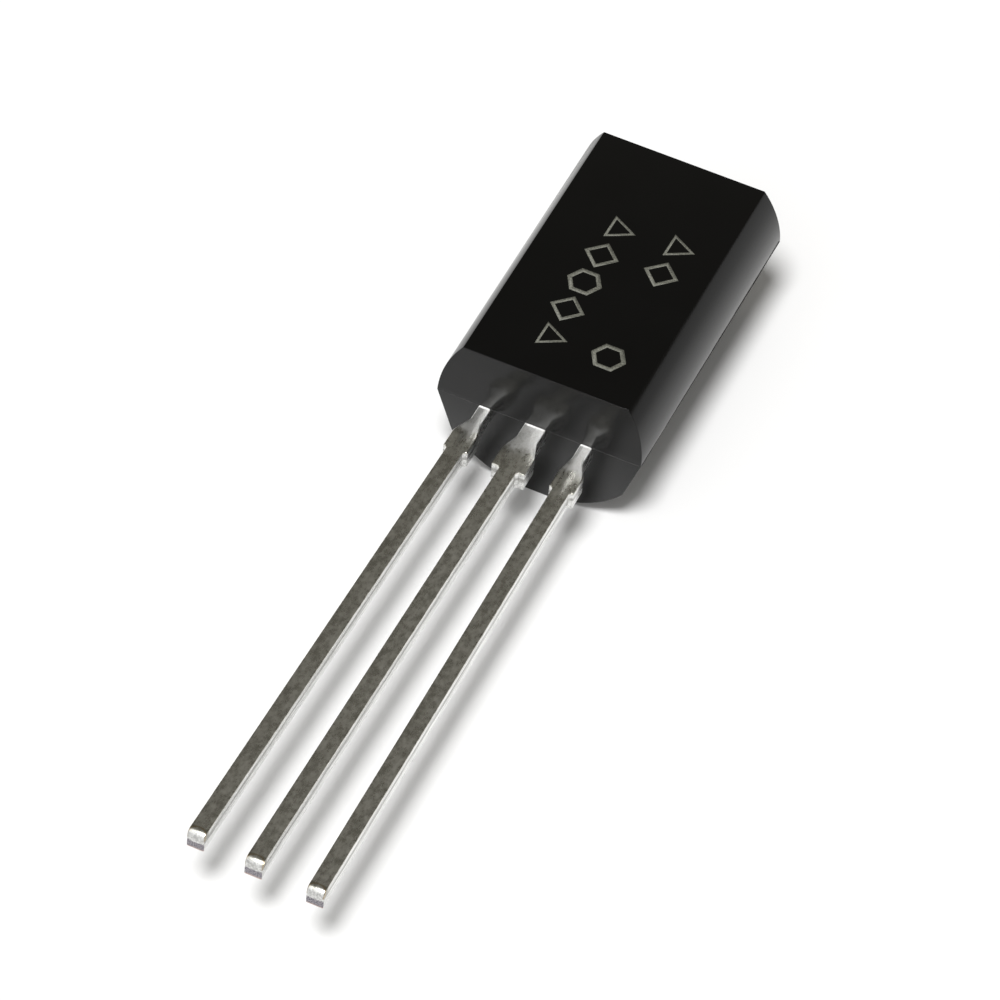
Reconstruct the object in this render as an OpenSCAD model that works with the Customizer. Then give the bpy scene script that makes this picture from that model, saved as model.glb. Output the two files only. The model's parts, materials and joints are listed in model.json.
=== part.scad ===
// A long-bodied transistor with three leads, lying on its back with its flat marked face up.
// X runs across the body, Y along it with the leads towards -Y, and Z out of the flat face.
// The origin is under the middle of the whole part, on the surface that the rounded back lies on.

/* [Moulded body] */
// Width of the body where its two mould halves meet
body_width = 4.9; // [4.7:0.05:5.3]
// Length of the body where its two mould halves meet
body_length = 7.8; // [7:0.1:9]
// Height of the flat marked face above the parting plane
front_height = 1.45; // [1.2:0.05:1.7]
// Depth of the rounded back below the parting plane
back_depth = 2.27; // [2:0.05:2.6]
// Width of the narrow flat along the middle of the rounded back
back_flat_width = 1; // [0.6:0.05:1.2]
// Height of the slanting side walls below the parting plane
side_height = 1.22; // [0.9:0.02:1.5]
// How far each side wall slants inward over its height
side_slant = 0.38; // [0.2:0.02:0.6]
// Draft of the two end faces, in degrees
end_draft = 5; // [1:0.5:8]
// Break along the edges of the flat face
edge_break = 0.07; // [0.02:0.01:0.15]

/* [Lead frame] */
// Spacing of the leads
lead_pitch = 1.27; // [1.2:0.01:1.4]
// Thickness of the stamped lead frame
lead_thickness = 0.48; // [0.35:0.01:0.55]
// Width of each leg
leg_width = 0.39; // [0.3:0.01:0.5]
// How far the lead frame sits off the middle of the body
lead_offset = -0.08; // [-0.15:0.01:0.15]
// Width of the collector neck, beside the body
collector_neck_width = 0.48; // [0.4:0.01:0.6]
// Width of the collector shoulder
collector_shoulder_width = 0.78; // [0.66:0.01:0.9]
// Width of the two outer necks
outer_neck_width = 0.27; // [0.2:0.01:0.36]
// How far the outer necks sit in towards the collector
outer_neck_inset = 0.05; // [0:0.01:0.08]
// Width of the two outer shoulders
outer_shoulder_width = 0.58; // [0.5:0.01:0.66]
// Distance from the body to where the shoulders are full width
neck_length = 0.9; // [0.6:0.02:1.2]
// Length over which each neck widens to its shoulder
taper_length = 0.45; // [0.1:0.05:0.6]
// Length of the shoulders at full width
shoulder_length = 0.52; // [0.4:0.02:0.8]
// Length of the emitter lead outside the body
emitter_length = 13.7; // [5:0.1:16]
// Length of the collector lead outside the body
collector_length = 13.8; // [5:0.1:16]
// Length of the base lead outside the body
base_length = 13.9; // [5:0.1:16]
// How far the tip of the emitter lead leans to the side
emitter_lean = -0.2; // [-0.3:0.01:0.3]
// How far the tip of the collector lead leans to the side
collector_lean = -0.09; // [-0.3:0.01:0.3]
// How far the tip of the base lead leans to the side
base_lean = 0.09; // [-0.3:0.01:0.3]
// Radius that the cutting tool rolled onto the tips
tip_roll = 0.16; // [0.05:0.01:0.25]

/* [Inside the body] */
// Width of the collector stem inside the body
stem_width = 0.6; // [0.5:0.02:0.8]
// Distance from the bottom end of the body to the die pad
pad_start = 2.3; // [2:0.1:2.6]
// Width of the die pad
pad_width = 1.6; // [1.3:0.05:1.7]
// Length of the die pad
pad_length = 2.2; // [1.8:0.1:2.6]
// Diameter of the hole in the stem that the moulding compound fills
lock_hole = 0.3; // [0.2:0.01:0.36]
// Width of the bonding posts on the outer leads
post_width = 0.66; // [0.5:0.02:0.72]
// Length of the bonding posts
post_length = 1.1; // [0.8:0.05:1.4]
// Width of the square silicon die
die_width = 0.8; // [0.6:0.05:1]
// Thickness of the die
die_thickness = 0.2; // [0.1:0.01:0.3]
// Thickness of the solder under the die
solder_thickness = 0.03; // [0.02:0.01:0.06]
// How far the solder spreads past each side of the die
solder_spread = 0.06; // [0.02:0.01:0.12]
// Diameter of the two bond wires
wire_diameter = 0.06; // [0.04:0.01:0.09]
// Diameter of the ball that starts each wire on the die
ball_diameter = 0.16; // [0.12:0.01:0.22]
// Height of the flattened ball
ball_height = 0.05; // [0.03:0.01:0.08]
// Height of the top of the wire loops above the lead frame
loop_height = 0.6; // [0.5:0.02:0.8]

/* [Hidden] */

arc_facets = 96;
fine_facets = 32;
wire_sides = 8;
wire_steps = 12;
step_chamfer = 0.05;
past = 1;
overlap = 0.1;

// The moulding in section, across the body. The back is an arc from side wall to side wall
// whose lowest part is cut off by the narrow flat, and its centre is back_centre above the
// parting plane.
body_radius = body_width / 2;
back_half_width = body_radius - side_slant;
back_rise = back_depth - side_height;
back_centre = (back_half_width ^ 2 - (back_flat_width / 2) ^ 2 + side_height ^ 2 - back_depth ^ 2)
              / (2 * back_rise);
back_radius = norm([back_half_width, side_height + back_centre]);
flat_half_width = sqrt(body_radius ^ 2 - front_height ^ 2);

// The drafted ends, along the body
front_inset = front_height * tan(end_draft);
back_inset = back_depth * tan(end_draft);

// Where the part lies: leads and body centred on the origin, back touching the surface
longest_lead = max(emitter_length, collector_length, base_length);
frame_y = (longest_lead - body_length) / 2;

// Stations along the leads and centres across them
shoulder_end = neck_length + shoulder_length;
root_length = 0.5;
emitter_x = lead_offset - lead_pitch;
collector_x = lead_offset;
base_x = lead_offset + lead_pitch;

// The die in the middle of its pad, and the feet of the wires
die_y = pad_start + pad_length / 2;
die_base_z = solder_thickness;
die_top_z = die_base_z + die_thickness;
bond_shift = die_width / 4;
post_y = pad_start + post_length / 2;

// Lifts a shape drawn about the parting plane and the bottom end to where the part lies
module lay_on_back() {
    translate([0, frame_y, back_depth])
        children();
}

// Outline of the moulding across the body, in X and Z
module body_section() {
    intersection() {
        circle(r = body_radius, $fn = arc_facets);
        polygon([[-body_radius - past, 0], [body_radius + past, 0],
                 [flat_half_width + edge_break, front_height - edge_break],
                 [flat_half_width - edge_break, front_height],
                 [-flat_half_width + edge_break, front_height],
                 [-flat_half_width - edge_break, front_height - edge_break]]);
    }
    polygon([[-body_radius, 0], [-back_half_width, -side_height],
             [back_half_width, -side_height], [body_radius, 0]]);
    intersection() {
        translate([0, back_centre])
            circle(r = back_radius, $fn = arc_facets);
        translate([-back_half_width, -back_depth])
            square([2 * back_half_width, back_rise]);
    }
}

// Outline of the moulding along the body, in Y and Z, with its drafted ends
module body_profile() {
    polygon([[0, 0], [front_inset, front_height - edge_break],
             [front_inset + edge_break, front_height],
             [body_length - front_inset - edge_break, front_height],
             [body_length - front_inset, front_height - edge_break], [body_length, 0],
             [body_length - back_inset, -back_depth], [back_inset, -back_depth]]);
}

// Outside shape of the moulding: its section along Y, cut to its drafted profile
module body_shape() {
    intersection() {
        translate([0, body_length + past, 0])
            rotate([90, 0, 0])
                linear_extrude(body_length + 2 * past)
                    body_section();
        rotate([90, 0, 90])
            linear_extrude(body_width + 2 * past, center = true)
                body_profile();
    }
}

// Gives an outline the frame's thickness, with its front face on the parting plane
module plate() {
    translate([0, 0, -lead_thickness])
        linear_extrude(lead_thickness)
            children();
}

// A straight strip of the frame, centred on x
module strip(x, width, from, to) {
    plate()
        translate([x - width / 2, from])
            square([width, to - from]);
}

// The corner that the cutting tool rolls off a lead's tip
module tip_corner(length) {
    rotate([90, 0, 90])
        linear_extrude(body_width, center = true)
            difference() {
                translate([-length - past, -tip_roll])
                    square([tip_roll + past, tip_roll + past]);
                translate([tip_roll - length, -tip_roll])
                    circle(r = tip_roll, $fn = fine_facets);
            }
}

// A lead outside the body: its neck, which widens to the shoulder that is left of the bar
// between the leads, and its leg, which leans a little to the side
module outside_lead(neck_x, neck_width, x, shoulder_width, length, lean) {
    shoulder = shoulder_width / 2;
    half = leg_width / 2;
    neck = neck_width / 2;
    neck_end = taper_length - neck_length;
    step_end = -shoulder_end - step_chamfer;
    difference() {
        plate()
            polygon([[neck_x - neck, overlap], [neck_x + neck, overlap], [neck_x + neck, neck_end],
                     [x + shoulder, -neck_length], [x + shoulder, -shoulder_end],
                     [x + half + step_chamfer, -shoulder_end], [x + half, step_end],
                     [x + lean + half, -length], [x + lean - half, -length],
                     [x - half, step_end], [x - half - step_chamfer, -shoulder_end],
                     [x - shoulder, -shoulder_end], [x - shoulder, -neck_length],
                     [neck_x - neck, neck_end]]);
        tip_corner(length);
    }
}

// An outer lead, with the bonding post that its wire lands on
module outer_lead(x, side, length, lean) {
    neck_x = x - side * outer_neck_inset;
    union() {
        outside_lead(neck_x, outer_neck_width, x, outer_shoulder_width, length, lean);
        strip(neck_x, outer_neck_width, 0, pad_start + overlap);
        strip(x, post_width, pad_start, pad_start + post_length);
    }
}

// A bond wire: a flattened ball on the die and a loop over to a post
module bond_wire(from, to) {
    run = norm(to - from);
    foot_z = die_top_z + ball_height;
    turn = atan2(to[1] - from[1], to[0] - from[0]);
    // Rings along a half ellipse that leaves the ball and meets the post upright
    stations = [for (i = [0 : wire_steps]) 180 * i / wire_steps];
    rings = [for (a = stations) let (base = a <= 90 ? foot_z : 0,
                                     rise = loop_height - base,
                                     along = run / 2 * (1 - cos(a)),
                                     up = base + rise * sin(a),
                                     tilt = atan2(rise * cos(a), run / 2 * sin(a)))
        [for (k = [0 : wire_sides - 1])
            let (w = 360 * (k + 0.5) / wire_sides,
                 out = wire_diameter / 2 * cos(w),
                 side = wire_diameter / 2 * sin(w))
            [along - out * sin(tilt), side, up + out * cos(tilt)]]];
    points = [for (ring = rings) each ring];
    last = wire_steps * wire_sides;
    quads = [for (i = [0 : wire_steps - 1], k = [0 : wire_sides - 1])
        let (n = (k + 1) % wire_sides, a = i * wire_sides, b = a + wire_sides)
        [a + k, a + n, b + n, b + k]];
    first_cap = [for (k = [wire_sides - 1 : -1 : 0]) k];
    last_cap = [for (k = [0 : wire_sides - 1]) last + k];
    translate([from[0], from[1], 0])
        rotate([0, 0, turn])
            polyhedron(points = points, faces = concat([first_cap, last_cap], quads));
    translate([from[0], from[1], die_top_z])
        cylinder(d = ball_diameter, h = ball_height, $fn = fine_facets);
}

module emitter_lead() {
    color("silver")
        lay_on_back()
            outer_lead(emitter_x, -1, emitter_length, emitter_lean);
}

module collector_lead() {
    color("silver")
        lay_on_back()
            union() {
                outside_lead(collector_x, collector_neck_width, collector_x,
                             collector_shoulder_width, collector_length, collector_lean);
                strip(collector_x, collector_neck_width, 0, root_length + overlap);
                plate()
                    difference() {
                        translate([collector_x - stem_width / 2, root_length])
                            square([stem_width, pad_start + overlap - root_length]);
                        translate([collector_x, (pad_start + root_length) / 2])
                            circle(d = lock_hole, $fn = fine_facets);
                    }
                strip(collector_x, pad_width, pad_start, pad_start + pad_length);
            }
}

module base_lead() {
    color("silver")
        lay_on_back()
            outer_lead(base_x, 1, base_length, base_lean);
}

module die_solder() {
    solder_width = die_width + 2 * solder_spread;
    color("lightgrey")
        lay_on_back()
            translate([collector_x - solder_width / 2, die_y - solder_width / 2, 0])
                cube([solder_width, solder_width, solder_thickness]);
}

module transistor_die() {
    color("slategrey")
        lay_on_back()
            translate([collector_x - die_width / 2, die_y - die_width / 2, die_base_z])
                cube([die_width, die_width, die_thickness]);
}

module emitter_wire() {
    color("gold")
        lay_on_back()
            bond_wire([collector_x - bond_shift, die_y], [emitter_x, post_y]);
}

module base_wire() {
    color("gold")
        lay_on_back()
            bond_wire([collector_x + bond_shift, die_y - bond_shift], [base_x, post_y]);
}

// The moulding fills everything round the pieces inside it
module moulded_body() {
    color([0.09, 0.09, 0.1])
        difference() {
            lay_on_back()
                body_shape();
            emitter_lead();
            collector_lead();
            base_lead();
            die_solder();
            transistor_die();
            emitter_wire();
            base_wire();
        }
}

moulded_body();
emitter_lead();
collector_lead();
base_lead();
die_solder();
transistor_die();
emitter_wire();
base_wire();
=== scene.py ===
# %% [markdown]
# A small transistor on a white table
# The part is a black moulded body with a flat face, lying on its domed back, and three
# stamped, tin-plated leads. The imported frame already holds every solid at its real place, so
# this script only gives the surfaces their looks: crisp glossy moulding compound, dull tin
# plate with rolled edges, the fine flash of the mould, and pale marks on the flat face.

# %% Load the frame and keep its box
import json
import math
import bmesh
import bpy
from mathutils import Matrix, Vector

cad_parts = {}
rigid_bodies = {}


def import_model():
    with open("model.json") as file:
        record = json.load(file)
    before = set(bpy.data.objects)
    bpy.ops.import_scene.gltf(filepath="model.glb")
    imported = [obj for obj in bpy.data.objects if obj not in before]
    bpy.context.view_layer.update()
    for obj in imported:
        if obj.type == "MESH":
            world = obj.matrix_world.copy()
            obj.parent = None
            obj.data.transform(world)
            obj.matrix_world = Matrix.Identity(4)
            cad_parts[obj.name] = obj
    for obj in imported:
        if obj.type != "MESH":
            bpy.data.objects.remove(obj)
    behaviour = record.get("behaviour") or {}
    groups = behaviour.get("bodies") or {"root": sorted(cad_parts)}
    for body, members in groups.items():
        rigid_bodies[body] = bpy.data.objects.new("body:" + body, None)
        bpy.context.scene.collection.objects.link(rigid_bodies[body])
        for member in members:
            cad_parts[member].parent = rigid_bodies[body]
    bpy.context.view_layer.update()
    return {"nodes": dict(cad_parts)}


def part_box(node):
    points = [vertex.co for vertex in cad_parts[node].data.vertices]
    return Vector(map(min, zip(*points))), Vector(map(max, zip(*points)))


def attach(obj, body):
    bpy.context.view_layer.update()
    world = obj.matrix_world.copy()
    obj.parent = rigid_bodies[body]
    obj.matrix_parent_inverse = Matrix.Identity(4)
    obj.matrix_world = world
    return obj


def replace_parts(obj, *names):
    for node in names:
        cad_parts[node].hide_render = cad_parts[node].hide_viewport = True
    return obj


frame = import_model()
MM = 0.001
# Points closer together than this, in metres, are one point.
MERGE = 1e-7
print("nodes:", ", ".join(sorted(frame["nodes"])))

# %% [markdown]
# Sizes
# The body's outline is taken from the frame's own boxes, so the pieces made here always fit
# the solids. Only what a box can't say is written down: where the side walls end, how far
# they slant, the narrow flat along the back, the draft of the ends, and the small radii along
# the edges, which grow towards the two sides of the far end.

# %% Sizes of the moulding, from the frame
body_low, body_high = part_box("moulded_body")
BODY_LENGTH = body_high.y - body_low.y
BODY_RADIUS = (body_high.x - body_low.x) / 2
BODY_END_Y = body_low.y
_, lead_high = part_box("collector_lead")
PARTING_Z = lead_high.z
FRONT_HEIGHT = body_high.z - PARTING_Z
BACK_DEPTH = PARTING_Z - body_low.z
SIDE_HEIGHT = 1.22 * MM
SIDE_SLANT = 0.38 * MM
BACK_FLAT = 1.0 * MM
END_DRAFT = math.radians(5)
EDGE_RADIUS = 0.04 * MM
# Past FAR_END of the body's length the radius grows from FAR_FROM, measured across, up to
# FAR_RADIUS at the sides.
FAR_RADIUS = 0.16 * MM
FAR_FROM = 1.95 * MM
FAR_END = 0.95
print(f"body {2 * BODY_RADIUS / MM:.2f} x {BODY_LENGTH / MM:.2f} mm")
print(f"parting plane at {PARTING_Z / MM:.2f} mm")

# %% [markdown]
# Shader maths as plain expressions
# A material is a network of small sums. Wrapping a socket in a class whose operators add the
# Math nodes lets the sums be read as Python. The reflected forms let a number stand first, as
# in 1 - mask.

# %% The socket class
class Value:
    """A socket that can be added, multiplied and divided like a number."""

    def __init__(self, network, socket):
        self.network = network
        self.socket = socket

    def maths(self, operation, first, second=None):
        values = [first] if second is None else [first, second]
        return self.network.node("ShaderNodeMath", {"operation": operation}, dict(enumerate(values)))

    def __add__(self, other):
        return self.maths("ADD", self, other)

    def __sub__(self, other):
        return self.maths("SUBTRACT", self, other)

    def __mul__(self, other):
        return self.maths("MULTIPLY", self, other)

    def __truediv__(self, other):
        return self.maths("DIVIDE", self, other)

    def __radd__(self, other):
        return self.maths("ADD", other, self)

    def __rsub__(self, other):
        return self.maths("SUBTRACT", other, self)

    def __rmul__(self, other):
        return self.maths("MULTIPLY", other, self)

    def clamped(self):
        return self.maths("MINIMUM", self.maths("MAXIMUM", self, 0.0), 1.0)

    def ramp(self, low, high):
        """0 below low, 1 above high, and a smooth step between."""
        settings = {"interpolation_type": "SMOOTHSTEP"}
        return self.network.node("ShaderNodeMapRange", settings, {0: self, 1: low, 2: high})


print("socket class ready")

# %% [markdown]
# One method for every node
# A network makes each node from its type, its settings and the values or links of its
# sockets. The room around the part is such a network, and so is a material. A material also
# has a shader to feed, and coordinates in millimetres that stay with the piece.

# %% The network and the material builder
class Network:
    """A tree of shader nodes."""

    def __init__(self, tree):
        self.tree = tree

    def node(self, kind, settings, sockets, output=0):
        made = self.tree.nodes.new(kind)
        for name, value in settings.items():
            setattr(made, name, value)
        for key, value in sockets.items():
            if isinstance(value, Value):
                self.tree.links.new(value.socket, made.inputs[key])
            else:
                made.inputs[key].default_value = value
        return Value(self, made.outputs[output])

    def blend(self, factor, first, second):
        """The first colour where factor is 0, and the second where it is 1."""
        sockets = {0: factor, 6: first, 7: second}
        return self.node("ShaderNodeMix", {"data_type": "RGBA"}, sockets, 2)


class Paint(Network):
    """A new material, with its Principled shader and Object coordinates in millimetres."""

    def __init__(self, name, **constants):
        self.material = bpy.data.materials.new(name)
        self.material.use_nodes = True
        super().__init__(self.material.node_tree)
        self.shader = self.tree.nodes["Principled BSDF"]
        for socket, value in constants.items():
            self.shader.inputs[socket.replace("_", " ")].default_value = value
        place = self.node("ShaderNodeTexCoord", {}, {}, "Object")
        scale = {0: place, 3: 1 / MM}
        self.place = self.node("ShaderNodeVectorMath", {"operation": "SCALE"}, scale, "Vector")
        self.x, self.y, self.z = (
            self.node("ShaderNodeSeparateXYZ", {}, {0: self.place}, axis) for axis in "XYZ")

    def noise(self, size, stretch=(1, 1, 1), detail=3.0, roughness=0.55):
        """Cloudy noise whose blotches are about size millimetres across."""
        spot = {0: self.place, 1: stretch}
        moved = self.node("ShaderNodeVectorMath", {"operation": "MULTIPLY"}, spot, "Vector")
        sockets = {"Vector": moved, "Scale": 1 / size, "Detail": detail, "Roughness": roughness}
        return self.node("ShaderNodeTexNoise", {}, sockets, "Fac")

    def bump(self, height, distance):
        """Lets a height from 0 to 1 stand up to distance millimetres out of the surface."""
        sockets = {"Height": height, "Distance": distance * MM, "Strength": 1.0}
        self.feed("Normal", self.node("ShaderNodeBump", {}, sockets, "Normal"))

    def feed(self, socket, value):
        self.tree.links.new(value.socket, self.shader.inputs[socket])


def rgb(red, green, blue):
    """A colour as it is seen on screen, 0 to 255, made linear for the shader."""
    def linear(c):
        c = c / 255
        return c / 12.92 if c < 0.04045 else ((c + 0.055) / 1.055) ** 2.4
    return (linear(red), linear(green), linear(blue), 1.0)


print("network and material builder ready")

# %% [markdown]
# The moulding compound
# Epoxy filled with silica comes out of a polished mould almost black and quite glossy. Its
# gloss is uneven: the mould's own polish shows as faint clouds in the roughness, and fine
# grains of filler break the highlight. A colour alone would look like painted card.

# %% Black moulding compound
# Sizes of the clouds in the polish, the grains of filler and the streaks of flow, in mm.
CLOUD = 1.4
GRAIN = 0.035
STREAK = 0.09


def moulding_paint():
    p = Paint("moulding_compound", IOR=1.42)
    cloud = p.noise(CLOUD, detail=4.0)
    grain = p.noise(GRAIN, detail=2.0)
    streak = p.noise(STREAK, stretch=(1, 0.08, 1), detail=2.0)
    p.feed("Base Color", p.blend(cloud, rgb(3, 3, 3), rgb(6, 6, 6)))
    p.feed("Roughness", 0.07 + 0.1 * cloud + 0.05 * grain)
    p.bump(grain * 0.6 + streak * 0.4, 0.001)
    return p.material


moulding = moulding_paint()
print("made", moulding.name)

# %% [markdown]
# The moulded body, from a rule
# The body is one section, a circle cut flat above the parting plane and a slanted, domed
# tray below it, carried along Y between two drafted ends. Geometry Nodes say that rule: they
# extrude the section, then slide each end's points in by their distance from the parting
# plane, as the two mould halves had to. A bevel rounds only the edges that turn sharply.

# %% Section of the body
ARC_STEPS = 18


def arc(centre_z, radius, start, stop):
    """Points on a circle round (0, centre_z), from start to stop in degrees."""
    step = (stop - start) / ARC_STEPS
    turns = [math.radians(start + step * i) for i in range(ARC_STEPS + 1)]
    return [(radius * math.cos(a), centre_z + radius * math.sin(a)) for a in turns]


def section_points():
    """The body's outline in X and height above the parting plane, once round."""
    half_back = BODY_RADIUS - SIDE_SLANT
    half_flat = BACK_FLAT / 2
    rise = BACK_DEPTH - SIDE_HEIGHT
    # the back is an arc through both side walls and both edges of the narrow flat
    centre = (half_back ** 2 - half_flat ** 2 + SIDE_HEIGHT ** 2 - BACK_DEPTH ** 2) / (2 * rise)
    radius = math.hypot(half_back, SIDE_HEIGHT + centre)
    wide = math.degrees(math.asin(half_back / radius))
    narrow = math.degrees(math.asin(half_flat / radius))
    flat_angle = math.degrees(math.asin(FRONT_HEIGHT / BODY_RADIUS))
    right = arc(0, BODY_RADIUS, 0, flat_angle)
    left = arc(0, BODY_RADIUS, 180 - flat_angle, 180)
    back_left = arc(centre, radius, -90 - wide, -90 - narrow)
    back_right = arc(centre, radius, -90 + narrow, -90 + wide)
    return right + left + back_left + back_right


def mesh_piece(name, points, edges=(), faces=()):
    mesh = bpy.data.meshes.new(name)
    mesh.from_pydata(points, edges, faces)
    made = bpy.data.objects.new(name, mesh)
    bpy.context.collection.objects.link(made)
    return made


section = section_points()
print(len(section), "points round the section")

# %% [markdown]
# A small builder for node trees
# Each tree is made the same way: named inputs, a chain of nodes, and at the end Realize
# Instances and Set Material, so that the result is one plain mesh with its own finish.

# %% Geometry Nodes helpers
class Tree:
    """A Geometry Nodes tree with named inputs."""

    def __init__(self, name, inputs):
        self.group = bpy.data.node_groups.new(name, "GeometryNodeTree")
        face = self.group.interface
        face.new_socket("Geometry", in_out="INPUT", socket_type="NodeSocketGeometry")
        face.new_socket("Geometry", in_out="OUTPUT", socket_type="NodeSocketGeometry")
        for label, kind in inputs.items():
            face.new_socket(label, in_out="INPUT", socket_type="NodeSocket" + kind)
        self.source = self.group.nodes.new("NodeGroupInput")

    def input(self, label):
        return self.source.outputs[label]

    def node(self, kind, settings=None, sockets=None, output=0):
        made = self.group.nodes.new(kind)
        for name, value in (settings or {}).items():
            setattr(made, name, value)
        for key, value in (sockets or {}).items():
            if isinstance(value, bpy.types.NodeSocket):
                self.group.links.new(value, made.inputs[key])
            else:
                made.inputs[key].default_value = value
        return made.outputs[output]

    def maths(self, operation, *values):
        return self.node("ShaderNodeMath", {"operation": operation}, dict(enumerate(values)))

    def join(self, *parts):
        made = self.group.nodes.new("GeometryNodeJoinGeometry")
        for part in parts:
            self.group.links.new(part, made.inputs[0])
        return made.outputs[0]

    def finish(self, geometry):
        whole = self.node("GeometryNodeRealizeInstances", {}, {0: geometry})
        sockets = {"Geometry": whole, "Material": self.input("Material")}
        coloured = self.node("GeometryNodeSetMaterial", {}, sockets)
        out = self.group.nodes.new("NodeGroupOutput")
        self.group.links.new(coloured, out.inputs[0])
        return self


def bake(piece):
    """Leaves what the modifiers made as the piece's own plain mesh."""
    shown = piece.evaluated_get(bpy.context.evaluated_depsgraph_get())
    mesh = bpy.data.meshes.new_from_object(shown)
    piece.modifiers.clear()
    piece.data = mesh


def grow(base, tree, values):
    """Runs a tree on base and leaves one plain mesh under base's name."""
    modifier = base.modifiers.new("grow", "NODES")
    modifier.node_group = tree.group
    for item in tree.group.interface.items_tree:
        if item.in_out == "INPUT" and item.name in values:
            modifier[item.identifier] = values[item.name]
    bake(base)
    return base


print("tree builder ready")

# %% [markdown]
# Edges and smooth faces
# A bevel has one width for a whole piece, but moulded and punched edges don't. So each edge
# gets a weight, its share of the largest radius. The large faces stay flat shaded, because a
# rounded edge would otherwise bend the light across the whole face beside it.

# %% Edge helpers
def round_edges(piece, radius_at, segments, angle):
    """Rounds every edge that turns more than angle degrees, by radius_at(its middle)."""
    form = bmesh.new()
    form.from_mesh(piece.data)
    weight = form.edges.layers.float.new("bevel_weight_edge")
    turning = [edge for edge in form.edges if edge.calc_face_angle(0) > math.radians(angle)]
    radii = [radius_at((edge.verts[0].co + edge.verts[1].co) / 2) for edge in turning]
    for edge, radius in zip(turning, radii):
        edge[weight] = radius / max(radii)
    form.to_mesh(piece.data)
    form.free()
    bevel = piece.modifiers.new("rounded_edges", "BEVEL")
    bevel.width = max(radii)
    bevel.segments = segments
    bevel.limit_method = "WEIGHT"
    bake(piece)


def smooth(piece, angle, largest):
    """Smooth shading where faces turn by less than angle degrees. Faces of more than largest
    square millimetres are flat, so that a rounded edge doesn't tint the face beside it."""
    faces = piece.data.polygons
    faces.foreach_set("use_smooth", [face.area < largest * MM * MM for face in faces])
    piece.data.set_sharp_from_angle(angle=math.radians(angle))


print("edge helpers ready")

# %% [markdown]
# Running the rule
# The section is two faces that meet on the parting plane, so the edge between the mould
# halves is really there. The tree gives them their length and their drafted ends, and the
# bevel takes the sharpness off every edge that turns by more than 30 degrees.

# %% The moulded body itself
def body_tree():
    tree = Tree("moulded_form", {"Length": "Float", "Draft": "Float", "Material": "Material"})
    along = tree.node("ShaderNodeCombineXYZ", {}, {1: tree.input("Length")})
    sockets = {"Mesh": tree.input("Geometry"), "Offset": along, "Offset Scale": 1.0,
               "Individual": False}
    walls = tree.node("GeometryNodeExtrudeMesh", {"mode": "FACES"}, sockets)
    near_end = tree.node("GeometryNodeFlipFaces", {}, {0: tree.input("Geometry")})
    sockets = {0: tree.join(walls, near_end), "Distance": MERGE}
    closed = tree.node("GeometryNodeMergeByDistance", {}, sockets)
    place = tree.node("GeometryNodeInputPosition")
    y = tree.node("ShaderNodeSeparateXYZ", {}, {0: place}, "Y")
    z = tree.node("ShaderNodeSeparateXYZ", {}, {0: place}, "Z")
    inset = tree.maths("MULTIPLY", tree.maths("ABSOLUTE", z), tree.input("Draft"))
    share = tree.maths("DIVIDE", y, tree.input("Length"))
    side = tree.maths("SUBTRACT", 1.0, tree.maths("MULTIPLY", share, 2.0))
    slide = tree.node("ShaderNodeCombineXYZ", {}, {1: tree.maths("MULTIPLY", inset, side)})
    drafted = tree.node("GeometryNodeSetPosition", {}, {"Geometry": closed, "Offset": slide})
    return tree.finish(drafted)


def body_edge_radius(spot):
    """The mould is rounder at the far end, more so towards its two sides."""
    outward = (abs(spot.x) - FAR_FROM) / (BODY_RADIUS - FAR_FROM)
    far = spot.y > BODY_LENGTH * FAR_END
    return EDGE_RADIUS + far * (FAR_RADIUS - EDGE_RADIUS) * max(0.0, min(1.0, outward))


def made_body():
    # both faces look along +Y, the way they are extruded
    points = [(x, 0, z) for x, z in section]
    left = min(range(len(section)), key=lambda i: (section[i][0], abs(section[i][1])))
    upper = list(range(left + 1))
    lower = list(range(left, len(section))) + [0]
    base = mesh_piece("body_moulding", points, faces=[upper[::-1], lower[::-1]])
    values = {"Length": BODY_LENGTH, "Draft": math.tan(END_DRAFT), "Material": moulding}
    grow(base, body_tree(), values)
    round_edges(base, body_edge_radius, segments=4, angle=30)
    base.data.transform(Matrix.Translation((0, BODY_END_Y, PARTING_Z)))
    smooth(base, angle=24, largest=1.0)
    return base


body = made_body()
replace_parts(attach(body, "root"), "moulded_body")
print("body:", len(body.data.polygons), "faces")

# %% [markdown]
# Tin plate
# The leads are punched from a strip of copper alloy and dipped in tin. The tin is dull and
# slightly mottled, and drawn out along the leg. Everything else on it is a mark of how the lead
# was made, apart from a painted highlight on the neck and painted shade at the tip, and each has
# its place: so far from the body, from the tip, or below the front face. The paint of a lead
# therefore starts with those distances and three noises.

# %% Distances and noises that the marks of a lead share
class LeadPaint(Paint):
    """The paint of one lead. tip_x and tip_y are the middle of its tip, in millimetres."""

    def __init__(self, name, tip_x, tip_y):
        super().__init__(name)
        self.blotch = self.noise(0.13, stretch=(1, 0.6, 1), detail=5.0, roughness=0.65)
        self.drawn = self.noise(0.05, stretch=(1, 0.05, 1), detail=3.0)
        self.fine = self.noise(0.025, detail=2.0)
        self.depth = PARTING_Z / MM - self.z
        self.from_wall = self.y - BODY_END_Y / MM
        self.from_tip = self.y - tip_y
        self.across_tip = self.x - tip_x


print("lead paint ready")

# %% [markdown]
# Faces and cut sides
# The punch shears the strip and leaves its sides bright, with a duller band across the middle
# of the thickness, where the metal broke. The band's limits move with the drawn noise, so it
# is streaked along the leg and isn't a ruled line.

# %% Tin on the faces, a duller band on the cut sides
# Depths below the front face, in millimetres: where the cut side starts, and where the
# duller band starts and stops. Each is a from and to, between which the change is gradual.
SIDE_FROM = (0.03, 0.06)
BREAK_FROM = (0.17, 0.21)
BREAK_TO = (0.27, 0.33)


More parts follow.
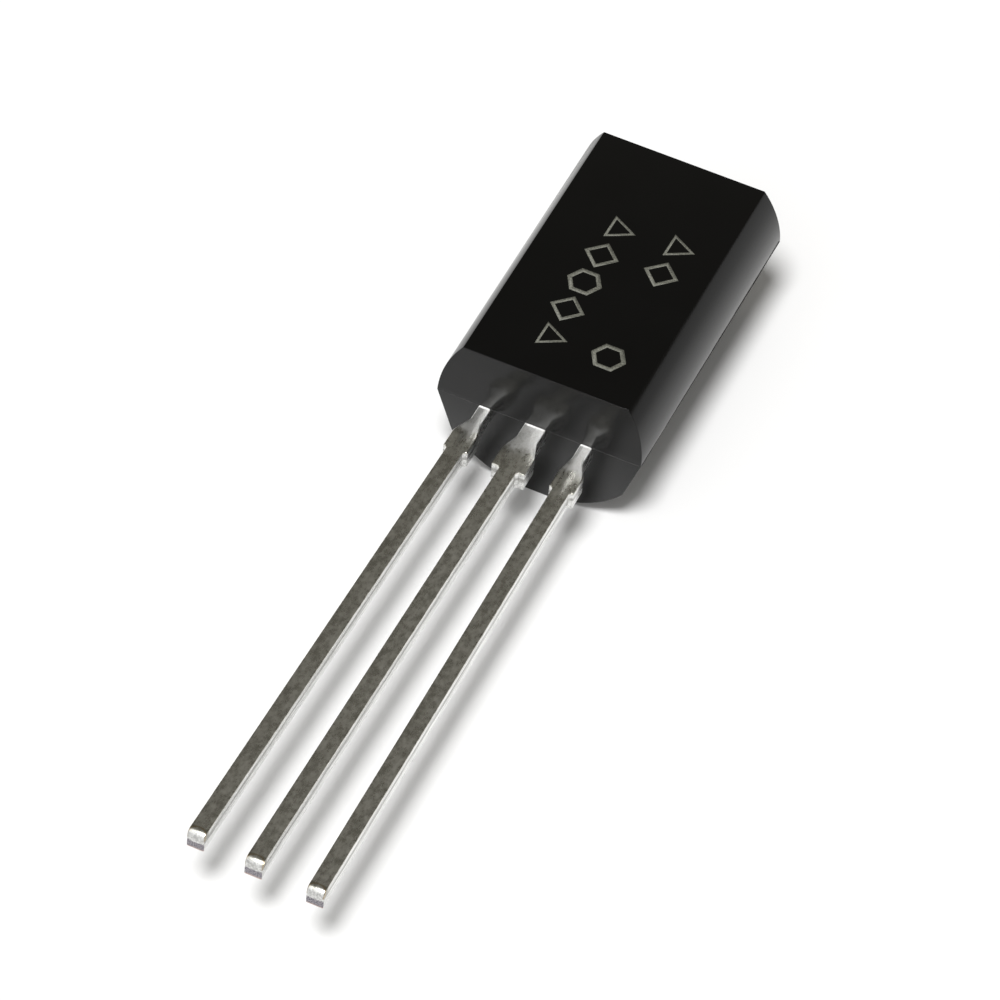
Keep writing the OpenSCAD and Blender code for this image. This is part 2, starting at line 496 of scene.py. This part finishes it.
def plated(p, tip):
    """Mottled tin on the faces, and bright cut sides with a duller band."""
    side = (p.depth.ramp(*SIDE_FROM) + tip).clamped()
    break_start = (p.depth + 0.08 * p.drawn).ramp(*BREAK_FROM)
    break_end = (p.depth + 0.1 * p.drawn).ramp(*BREAK_TO)
    break_line = break_start * (1.0 - break_end) * (1.0 - tip)
    tin = p.blend(p.blotch.ramp(0.3, 0.7), rgb(186, 185, 176), rgb(242, 241, 234))
    sheared = p.blend(p.drawn.ramp(0.35, 0.65), rgb(205, 205, 203), rgb(245, 245, 243))
    broken = p.blend(break_line * 0.55, sheared, rgb(120, 118, 112))
    return p.blend(side, tin, broken)


print("faces and sides ready")

# %% [markdown]
# Neck and tip
# The mould clamped the neck, so its face is brighter there, with a broken white line at the
# wall where the tin was rubbed, and a painted highlight along the neck's upper edges. At the tip
# the cutter rolled the corner down, and painted shade on its corners leaves the tin bright in a
# half disc only, with a thin bronze line round it.

# %% Masks for the neck and the tip
# In millimetres: how far the bright neck reaches from the wall, the width of the rubbed line at
# the wall and of the painted edge highlight, the radius of the half disc, and how deep the front
# face and the painted shade on the tip's corners go.
NECK_REACH = 0.85
RUB_AND_HIGHLIGHT_WIDTH = 0.05
TIP_DISC = 0.2
FRONT_DEPTH = 0.06
CORNER_SHADE_DEPTH = 0.2


def neck_masks(p):
    """Where the neck is bright, and where it is white: a rubbed line at the wall, and a painted
    highlight along its upper edges.
    """
    front = (FRONT_DEPTH - p.depth).ramp(0.0, 0.03)
    bright = (p.from_wall + NECK_REACH + 0.6 * p.blotch).ramp(0.2, 0.45) * front
    wall = (p.from_wall + RUB_AND_HIGHLIGHT_WIDTH + 0.03 * p.fine).ramp(0.0, 0.02) * front
    facing = p.node("ShaderNodeTexCoord", {}, {}, "Normal")
    up = p.node("ShaderNodeSeparateXYZ", {}, {0: facing}, "Z")
    # painted highlight: the neck's rounded upper edges and the top of its sides are painted white
    edge = (1.0 - up.ramp(0.85, 0.97)) * (RUB_AND_HIGHLIGHT_WIDTH - p.depth).ramp(0.0, 0.01)
    neck = (p.from_wall + 0.3 * p.blotch).ramp(-0.45, -0.25)
    patchy = 0.45 + 0.55 * p.blotch.ramp(0.38, 0.52)
    return bright, (wall + edge * neck).clamped() * patchy


def tip_masks(p):
    """Painted shade on the corners outside the tip's white half disc, which shapes the rolled
    tip's highlight into a half disc, and the bronze line round it.
    """
    across = p.across_tip / TIP_DISC
    back = p.from_tip / TIP_DISC
    reach = across * across + back * back + 0.5 * p.blotch
    near_tip = (1.2 * TIP_DISC - p.from_tip).ramp(0.0, 0.05)
    # painted shade: the tip's corners are darkened, so only a half disc of the rolled tip stays
    # bright
    painted_corner_shade = (CORNER_SHADE_DEPTH - p.depth).ramp(0.0, 0.03) * near_tip * reach.ramp(1.0, 1.25)
    return painted_corner_shade, painted_corner_shade * (1.0 - reach.ramp(1.35, 1.6))


print("neck and tip masks ready")

# %% [markdown]
# One paint from all the marks
# The marks are laid over each other in the order the real ones were made: plating, bright neck,
# the rubbed line at the wall with the painted highlight on the neck's edges, the painted shade
# on the tip's corners, and last the torn end, where the cutter left a grey-violet band of bare
# alloy and a pinkish burr below it.

# %% Tinned lead
# In millimetres: the length of the lead that counts as its tip, and the depths at which the
# bare alloy and the burr start on it.
TIP_BAND = 0.03
TORN_FROM = (0.3, 0.34)
BURR_FROM = (0.45, 0.48)


def tin_paint(name, tip_x, tip_y):
    """All the marks of one lead over its plating, as one material."""
    p = LeadPaint(name, tip_x, tip_y)
    tip = (TIP_BAND - p.from_tip).ramp(0.0, 0.01)
    bright, rub_and_edge_highlight = neck_masks(p)
    painted_corner_shade, bronze = tip_masks(p)
    torn = tip * (p.depth + 0.12 * p.blotch).ramp(*TORN_FROM)
    burr = tip * (p.depth + 0.05 * p.blotch).ramp(*BURR_FROM)
    speckle = (p.fine * 0.5 + p.blotch * 0.5).ramp(0.38, 0.58)
    bare = p.blend(p.fine.ramp(0.4, 0.6), rgb(92, 88, 100), rgb(190, 186, 190))
    colour = p.blend(bright * (0.55 + 0.45 * speckle), plated(p, tip), rgb(244, 244, 242))
    # painted highlight on the neck's upper edges, together with the rubbed line at the wall
    colour = p.blend(rub_and_edge_highlight, colour, rgb(250, 250, 248))
    # painted shade on the tip's corners, shaping the highlight of the rolled tip
    colour = p.blend(painted_corner_shade * 0.7, colour, rgb(150, 147, 134))
    colour = p.blend(bronze * 0.5, colour, rgb(190, 164, 120))
    colour = p.blend(torn, colour, bare)
    p.feed("Base Color", p.blend(burr, colour, rgb(200, 178, 172)))
    # the painted edge highlight and the rubbed line are less metallic, so they stay white
    p.feed("Metallic", 1.0 - 0.9 * rub_and_edge_highlight)
    p.feed("Roughness", 0.2 + 0.1 * p.blotch + 0.06 * p.drawn + 0.16 * bright + 0.2 * tip)
    p.bump(p.blotch * 0.45 + p.drawn * 0.35 + p.fine * 0.2, 0.006)
    return p.material


print("tin ready")

# %% [markdown]
# Leads with rolled edges
# The solids of the leads have knife-sharp edges. A punched strip has none: the punch rolls
# its edges over, and every edge catches a thin line of light. Each lead is a copy of its own
# solid, merged into clean flat faces and given a small bevel, wider on top of the neck.

# %% The three leads
LEAD_EDGE = 0.022 * MM
NECK_EDGE = 0.045 * MM
TIP_SLICE = 0.05 * MM


def lead_edge_radius(spot):
    """The mould wore the neck's upper edges rounder than the punch left the rest."""
    at_neck = abs(spot.y - BODY_END_Y) < NECK_REACH * 1.5 * MM and PARTING_Z - spot.z < LEAD_EDGE
    return NECK_EDGE if at_neck else LEAD_EDGE


def dressed_lead(node, name):
    low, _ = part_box(node)
    source = frame["nodes"][node]
    piece = bpy.data.objects.new(name, source.data.copy())
    bpy.context.collection.objects.link(piece)
    form = bmesh.new()
    form.from_mesh(piece.data)
    bmesh.ops.remove_doubles(form, verts=form.verts, dist=MERGE)
    flat = math.radians(1)
    bmesh.ops.dissolve_limit(form, angle_limit=flat, verts=form.verts, edges=form.edges)
    form.to_mesh(piece.data)
    form.free()
    round_edges(piece, lead_edge_radius, segments=3, angle=40)
    piece.data.materials.clear()
    # an outer lead leans, so the middle of its tip is read from the points at the tip
    tip = [v.co.x for v in source.data.vertices if v.co.y < low.y + TIP_SLICE]
    tip_x = (min(tip) + max(tip)) / 2
    piece.data.materials.append(tin_paint(name + "_tin", tip_x / MM, low.y / MM))
    smooth(piece, angle=34, largest=0.05)
    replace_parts(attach(piece, "root"), node)
    return piece


leads = [dressed_lead(node, node.replace("_lead", "_leg"))
         for node in ("emitter_lead", "collector_lead", "base_lead")]
print("leads:", [len(lead.data.polygons) for lead in leads], "faces")

# %% [markdown]
# Mould flash
# Where the two mould halves met, a film of resin crept out. It is a hair-thin fin that runs
# round the body on the parting plane, wider here and narrower there. A curve resampled into
# short steps, and swept with a section whose scale follows noise, makes exactly that.

# %% Flash round the parting plane
# The fin's middle line lies FLASH_ROOT inside the body's edge, and its section is FLASH_REACH
# wide and FLASH_THICKNESS thick. FLASH_WAVES is the noise's scale, in waves to the metre.
FLASH_ROOT = 0.006 * MM
FLASH_REACH = 0.03 * MM
FLASH_THICKNESS = 0.01 * MM
FLASH_STEP = 0.06 * MM
FLASH_WAVES = 700.0
# Where the leads come out, from and to across the body in millimetres: no flash there.
LEAD_GAPS = ((-1.45, -1.15), (-0.34, 0.18), (0.99, 1.29))


def flash_paint():
    p = Paint("resin_flash", IOR=1.5)
    cloud = p.noise(0.3, detail=3.0)
    p.feed("Base Color", p.blend(cloud.ramp(0.4, 0.65), rgb(12, 12, 12), rgb(58, 58, 55)))
    p.feed("Roughness", 0.4 + 0.2 * cloud)
    return p.material


def flash_tree():
    inputs = {"Step": "Float", "Thickness": "Float", "Reach": "Float", "Material": "Material"}
    tree = Tree("flash_fin", inputs)
    line = tree.node("GeometryNodeMeshToCurve", {}, {0: tree.input("Geometry")})
    sockets = {"Curve": line, "Length": tree.input("Step")}
    even = tree.node("GeometryNodeResampleCurve", {"mode": "LENGTH"}, sockets)
    waves = {"Scale": FLASH_WAVES, "Detail": 2.0}
    noise = tree.node("ShaderNodeTexNoise", {"noise_dimensions": "3D"}, waves, "Fac")
    patchy = tree.node("ShaderNodeMapRange", {}, {0: noise, 1: 0.42, 2: 0.68, 3: 0.6, 4: 1.0})
    sockets = {"Width": tree.input("Reach"), "Height": tree.input("Thickness")}
    fin = tree.node("GeometryNodeCurvePrimitiveQuadrilateral", {}, sockets)
    sockets = {"Curve": even, "Profile Curve": fin, "Scale": patchy}
    swept = tree.node("GeometryNodeCurveToMesh", {}, sockets)
    return tree.finish(swept)


def made_flash():
    r, near, far = BODY_RADIUS - FLASH_ROOT, FLASH_ROOT, BODY_LENGTH - FLASH_ROOT
    stops = [-r] + [x * MM for gap in LEAD_GAPS for x in gap] + [r]
    points = [(x, near, 0) for x in stops] + [(r, far, 0), (-r, far, 0)]
    across = [(i, i + 1) for i in range(0, len(stops), 2)]
    last = len(points) - 1
    around = [(last - 2, last - 1), (last - 1, last), (last, 0)]
    base = mesh_piece("parting_flash", points, edges=across + around)
    values = {"Step": FLASH_STEP, "Thickness": FLASH_THICKNESS, "Reach": FLASH_REACH,
              "Material": flash_paint()}
    grow(base, flash_tree(), values)
    base.data.transform(Matrix.Translation((0, BODY_END_Y, PARTING_Z)))
    return base


flash = made_flash()
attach(flash, "root")
print("flash:", len(flash.data.polygons), "faces")

# %% [markdown]
# Marks on the flat face
# The face carries pale marks that a laser left in the black compound. They are plain outlines
# of triangles, squares and hexagons, in three short rows. Each is a point that carries the
# number of its kind, and the tree sets the right outline on it.

# %% Pale laser marks
def mark_paint():
    p = Paint("laser_mark")
    speck = p.noise(0.04, detail=3.0)
    p.feed("Base Color", p.blend(speck.ramp(0.35, 0.65), rgb(80, 81, 74), rgb(114, 114, 104)))
    p.feed("Roughness", 0.55 + 0.2 * speck)
    return p.material


MARK_SIZE = 0.36 * MM
MARK_STROKE = 0.115 * MM
MARK_HEIGHT = 0.006 * MM
# Each row: its place across the body, the distance of its first mark from the lead end and
# the step to the next, in millimetres, and the kinds: 0 triangle, 1 square, 2 hexagon.
MARK_ROWS = [(-0.45, 1.35, 0.92, (0, 1, 2, 1, 0)),
             (0.95, 1.35, 0.92, (2,)),
             (0.95, 4.2, 0.92, (1, 0))]


def marks_tree():
    inputs = {"Size": "Float", "Stroke": "Float", "Height": "Float", "Material": "Material"}
    tree = Tree("outline_marks", inputs)
    sockets = {"Width": tree.input("Stroke"), "Height": tree.input("Height")}
    pen = tree.node("GeometryNodeCurvePrimitiveQuadrilateral", {}, sockets)
    outlines = []
    for sides in (3, 4, 6):
        sockets = {"Resolution": sides, "Radius": tree.input("Size")}
        ring = tree.node("GeometryNodeCurvePrimitiveCircle", {}, sockets)
        drawn = tree.node("GeometryNodeCurveToMesh", {}, {"Curve": ring, "Profile Curve": pen})
        outlines.append(tree.node("GeometryNodeGeometryToInstance", {}, {0: drawn}))
    kinds = tree.join(*reversed(outlines))
    kind = tree.node("GeometryNodeInputNamedAttribute", {"data_type": "INT"}, {0: "kind"})
    sockets = {"Points": tree.input("Geometry"), "Instance": kinds, "Pick Instance": True,
               "Instance Index": kind}
    return tree.finish(tree.node("GeometryNodeInstanceOnPoints", {}, sockets))


def made_marks():
    spots = [(x * MM, (start + step * i) * MM, 0, kind)
             for x, start, step, kinds in MARK_ROWS for i, kind in enumerate(kinds)]
    base = mesh_piece("face_marks", [spot[:3] for spot in spots])
    kinds = base.data.attributes.new("kind", "INT", "POINT")
    kinds.data.foreach_set("value", [spot[3] for spot in spots])
    values = {"Size": MARK_SIZE, "Stroke": MARK_STROKE, "Height": MARK_HEIGHT,
              "Material": mark_paint()}
    grow(base, marks_tree(), values)
    base.data.transform(Matrix.Translation((0, BODY_END_Y, PARTING_Z + FRONT_HEIGHT)))
    return base


marks = made_marks()
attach(marks, "root")
print("marks:", len(marks.data.polygons), "faces")

# %% [markdown]
# The pieces sealed inside
# Nothing outside shows the chip, its solder and its two gold wires. They still get their own
# finish, because the model can be cut open.

# %% Chip, solder and wires
def chip_paint():
    p = Paint("silicon_chip", Roughness=0.15)
    cell = p.noise(0.1, detail=1.0)
    p.feed("Base Color", p.blend(cell.ramp(0.45, 0.55), rgb(84, 92, 104), rgb(112, 120, 128)))
    return p.material


def metal_paint(name, dark, light):
    p = Paint(name, Metallic=1.0)
    cloud = p.noise(0.06, detail=3.0)
    p.feed("Base Color", p.blend(cloud, dark, light))
    p.feed("Roughness", 0.25 + 0.2 * cloud)
    return p.material


gold = metal_paint("bond_gold", rgb(214, 170, 84), rgb(240, 204, 122))
inside = {"transistor_die": chip_paint(), "emitter_wire": gold, "base_wire": gold,
          "die_solder": metal_paint("soft_solder", rgb(150, 150, 152), rgb(190, 190, 190))}
for node, paint in inside.items():
    slots = frame["nodes"][node].data.materials
    slots.clear()
    slots.append(paint)
print("inside pieces finished:", len(inside))

# %% [markdown]
# The table
# The part lies on plain white. The camera sees the table white all over, but what the part
# reflects carries painted shade that darkens the paper with distance, as paper under one lamp
# darkens, so the rounded side goes from light grey at the bottom to dark grey at the top.

# %% White table
# In what the part reflects, the paper's painted shade leaves it brightest up to SHEET_NEAR from
# the middle and dimmest past SHEET_FAR, in mm.
SHEET_NEAR = 6.0
SHEET_FAR = 22.0
SHEET_WHITE = (0.77, 0.77, 0.77, 1)
SHEET_PAINTED_DIM = (0.42, 0.42, 0.42, 1)
BLACK = (0, 0, 0, 1)
TABLE_GLOW = 0.06


def table_paint():
    p = Paint("white_table", Roughness=0.9, Specular_IOR_Level=0.0, Emission_Strength=TABLE_GLOW)
    direct = p.node("ShaderNodeLightPath", {}, {}, "Is Camera Ray")
    shine = p.node("ShaderNodeLightPath", {}, {}, "Is Glossy Ray")
    through = p.node("ShaderNodeLightPath", {}, {}, "Is Transmission Ray")
    square = p.x * p.x + p.y * p.y
    distance = square.maths("SQRT", square)
    # painted shade: for all but camera rays the paper darkens with distance from the middle
    sheet_with_painted_falloff = p.blend(distance.ramp(SHEET_NEAR, SHEET_FAR), SHEET_WHITE, SHEET_PAINTED_DIM)
    surface = p.blend(direct, sheet_with_painted_falloff, SHEET_WHITE)
    p.feed("Base Color", surface)
    p.feed("Emission Color", p.blend((direct + shine + through).clamped(), BLACK, surface))
    return p.material


TABLE_HALF = 1.5
TABLE_Z = -0.002 * MM
signs = ((-1, -1), (1, -1), (1, 1), (-1, 1))
corners = [(TABLE_HALF * x, TABLE_HALF * y, TABLE_Z) for x, y in signs]
floor = mesh_piece("table", corners, faces=[(0, 1, 2, 3)])
floor.data.materials.append(table_paint())
print("table:", 2 * TABLE_HALF, "m wide")

# %% [markdown]
# Light and room
# One broad lamp, high over the lead end, gives each lead its soft shadow. The room is dark
# overhead, so the flat face stays black and the tops of the leads a quiet grey. A pale window
# on the leads' side whitens the rolled tips and the cut ends.

# %% Soft light and the room
# The window's middle is in the direction WINDOW_AT. It fades to the dark room between two
# cosines of the angle away from there.
LAMP_POWER = 3.45
LAMP_ANGLE = math.radians(16)
LAMP_AZIMUTH = 5
LAMP_ELEVATION = 65
WINDOW_AT = Vector((-0.15, -0.75, 0.64)).normalized()
WINDOW_FADE = (0.7, 0.97)
WINDOW = (1.1, 1.1, 1.1, 1)
ROOM = (0.136, 0.13, 0.114, 1)


def aim(thing, azimuth, elevation, distance, target, roll=0.0):
    """Puts thing on a sphere round target, looking at it. Azimuth 0 looks along +Y."""
    a, e = math.radians(azimuth), math.radians(elevation)
    back = Vector((math.sin(a) * math.cos(e), -math.cos(a) * math.cos(e), math.sin(e)))
    thing.location = target + back * distance
    turn = (-back).to_track_quat("-Z", "Y").to_matrix().to_4x4()
    thing.rotation_euler = (turn @ Matrix.Rotation(math.radians(roll), 4, "Z")).to_euler()


def soft_light():
    lamp = bpy.data.lights.new("soft_light", "SUN")
    lamp.energy = LAMP_POWER
    lamp.angle = LAMP_ANGLE
    light = bpy.data.objects.new("soft_light", lamp)
    bpy.context.collection.objects.link(light)
    aim(light, LAMP_AZIMUTH, LAMP_ELEVATION, 1.0, Vector((0, 0, 0)))


def room():
    """Dark overhead and behind the part, pale on the leads' side."""
    world = bpy.data.worlds.new("room")
    bpy.context.scene.world = world
    world.use_nodes = True
    sky = Network(world.node_tree)
    way = sky.node("ShaderNodeTexCoord", {}, {}, "Generated")
    sockets = {0: way, 1: WINDOW_AT}
    toward = sky.node("ShaderNodeVectorMath", {"operation": "DOT_PRODUCT"}, sockets, "Value")
    shade = sky.blend(toward.ramp(*WINDOW_FADE), ROOM, WINDOW)
    sky.tree.links.new(shade.socket, sky.tree.nodes["Background"].inputs["Color"])


soft_light()
room()
print("light and room ready")

# %% [markdown]
# Camera
# The camera looks down on the part from the lead end, a little from the right, through a long
# lens. Its place is on a sphere round a point near the middle of the part, so each number
# says one thing: how far round, how high, how far away, and how much it leans.

# %% Camera at the photograph's angle
CAMERA_TARGET = Vector((0.14, 0.72, 2.27)) * MM
CAMERA_AZIMUTH = 20.36
CAMERA_ELEVATION = 47.86
CAMERA_DISTANCE = 141.2 * MM
CAMERA_ROLL = 5.77
CAMERA_LENS = 235.2
CAMERA_SENSOR = 36
camera_data = bpy.data.cameras.new("camera")
camera_data.sensor_width = CAMERA_SENSOR
camera_data.lens = CAMERA_LENS
camera_data.clip_start = 0.005
camera_data.clip_end = 10
camera = bpy.data.objects.new("camera", camera_data)
bpy.context.collection.objects.link(camera)
aim(camera, CAMERA_AZIMUTH, CAMERA_ELEVATION, CAMERA_DISTANCE, CAMERA_TARGET, CAMERA_ROLL)
bpy.context.scene.camera = camera
bpy.context.scene.view_settings.view_transform = "Standard"
print("camera at", [round(c / MM, 1) for c in camera.location], "mm")
